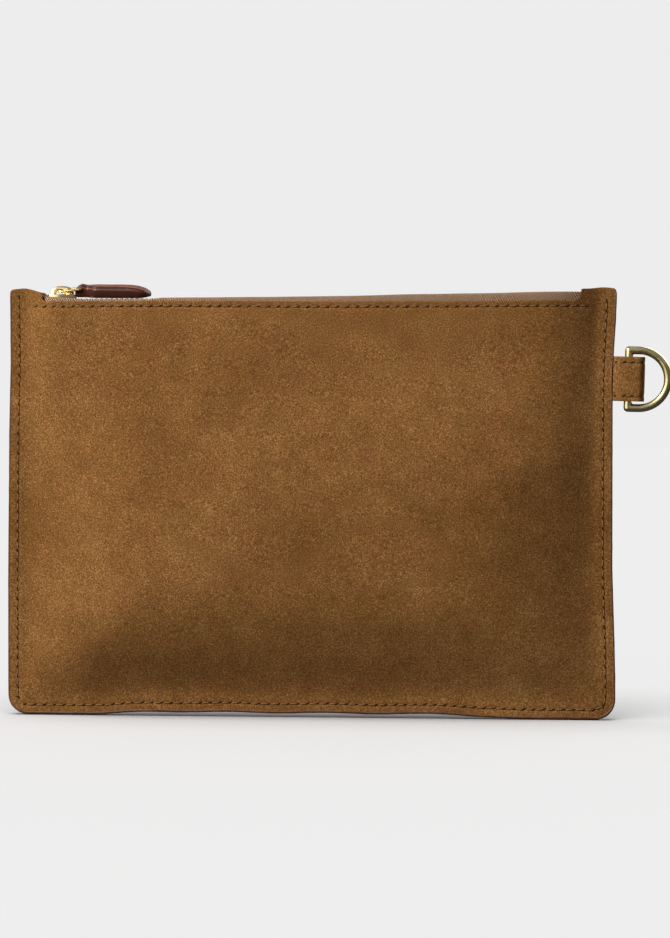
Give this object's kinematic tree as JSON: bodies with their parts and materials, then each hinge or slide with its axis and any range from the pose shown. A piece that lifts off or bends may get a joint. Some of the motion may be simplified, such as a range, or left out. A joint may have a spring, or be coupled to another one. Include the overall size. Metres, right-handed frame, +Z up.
{
  "type": "wristlet wallet",
  "caption": "Flat suede zip pouch with a metal zip, a folded leather zip pull and a D-ring held by a suede tab on its side seam.",
  "frame": {"origin": "middle of the pouch's bottom edge, halfway between the two side edges and between the two panels", "axes": "+X towards the side with the D-ring, +Z up to the zip, and the front panel faces -Y"},
  "size_m": [0.2706, 0.0278, 0.1777],
  "materials": {
    "suede": "napped suede, matte, faintly mottled",
    "lining": "plain-weave cotton",
    "edge_paint": "burnished and painted edge, dark burgundy brown",
    "thread": "tonal waxed thread",
    "tape": "twill-woven zip tape, pinkish taupe",
    "zip_metal": "polished pale brass",
    "stop_metal": "grey-white satin metal",
    "pull_leather": "smooth dark reddish-brown leather, painted edges",
    "ring_metal": "satin antique brass"
  },
  "bodies": {
    "pouch": {"front_panel": "suede", "back_panel": "suede", "front_lining": "lining", "back_lining": "lining", "edge_paint": "edge_paint", "seam_stitching_front": "thread", "seam_stitching_back": "thread", "zip_stitching_front": "thread", "zip_stitching_back": "thread", "zip_tape_front": "tape", "zip_tape_back": "tape", "zip_teeth_front": "zip_metal", "zip_teeth_back": "zip_metal", "zip_top_stops": "stop_metal", "zip_bottom_stop": "stop_metal", "tab_anchor": "suede"},
    "slider": {"slider_body": "zip_metal", "slider_crown": "zip_metal", "slider_lock_spring": "stop_metal"},
    "link": {"pull_link": "zip_metal"},
    "pull": {"leather_pull": "pull_leather"},
    "tab": {"ring_tab": "suede", "tab_stitching": "thread"},
    "ring": {"d_ring": "ring_metal"}
  },
  "joints": [
    {"name": "zip_slide", "type": "slide", "parent": "pouch", "child": "slider", "axis": [1, 0, 0], "range_m": [0, 0.175], "deforming": ["zip_teeth_front", "zip_teeth_back"]},
    {"name": "link_hinge", "type": "hinge", "parent": "slider", "child": "link", "pos_m": [-0.103, 0, 0.1741], "axis": [0, -0.9869, -0.1616], "range_deg": [0, 110]},
    {"name": "pull_hinge", "type": "hinge", "parent": "link", "child": "pull", "pos_m": [-0.0941, -0.00018, 0.17519], "axis": [0, -0.9869, -0.1616], "range_deg": [0, 60]},
    {"name": "tab_flex", "type": "hinge", "parent": "pouch", "child": "tab", "pos_m": [0.12545, 0, 0.138], "axis": [0.0262, 0, 0.9997], "range_deg": [-45, 45]},
    {"name": "ring_swivel", "type": "hinge", "parent": "tab", "child": "ring", "pos_m": [0.12905, 0, 0.13791], "axis": [0.0262, 0, 0.9997], "range_deg": [-90, 90]}
  ]
}
